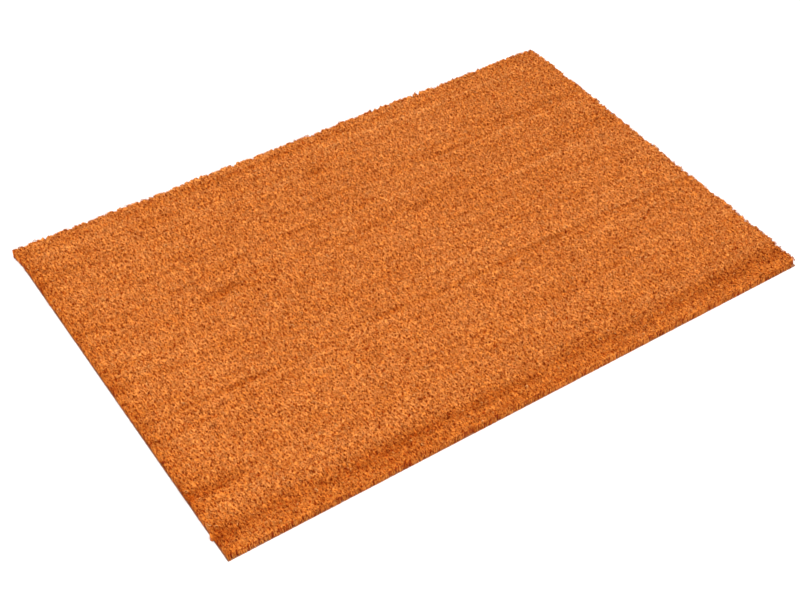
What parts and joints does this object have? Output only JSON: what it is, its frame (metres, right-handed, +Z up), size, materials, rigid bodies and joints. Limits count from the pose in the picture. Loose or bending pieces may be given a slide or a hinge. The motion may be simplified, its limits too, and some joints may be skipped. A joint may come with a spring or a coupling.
{
  "type": "door mat",
  "caption": "Flat rectangular coir door mat with a dense upright cut pile on a thin vinyl backing, cut straight on all sides.",
  "frame": {"origin": "on the floor, under the middle of the mat", "axes": "+Z up out of the pile, +X along the mat's long side and its rows of tufts, +Y across the rows"},
  "size_m": [0.9, 0.6, 0.015],
  "materials": {
    "coir": "natural coconut fibre, cut pile, matte, orange tan",
    "vinyl": "soft vinyl sheet, dull, finely embossed underneath"
  },
  "bodies": {
    "root": {"vinyl_backing": "vinyl", "pile_band_01": "coir", "pile_band_02": "coir", "pile_band_03": "coir", "pile_band_04": "coir", "pile_band_05": "coir", "pile_band_06": "coir", "pile_band_07": "coir", "pile_band_08": "coir", "pile_band_09": "coir", "pile_band_10": "coir", "pile_band_11": "coir", "pile_band_12": "coir", "pile_band_13": "coir", "pile_band_14": "coir", "pile_band_15": "coir", "pile_band_16": "coir", "pile_band_17": "coir", "pile_band_18": "coir", "pile_band_19": "coir", "pile_band_20": "coir", "pile_band_21": "coir", "pile_band_22": "coir", "pile_band_23": "coir", "pile_band_24": "coir"}
  },
  "joints": []
}
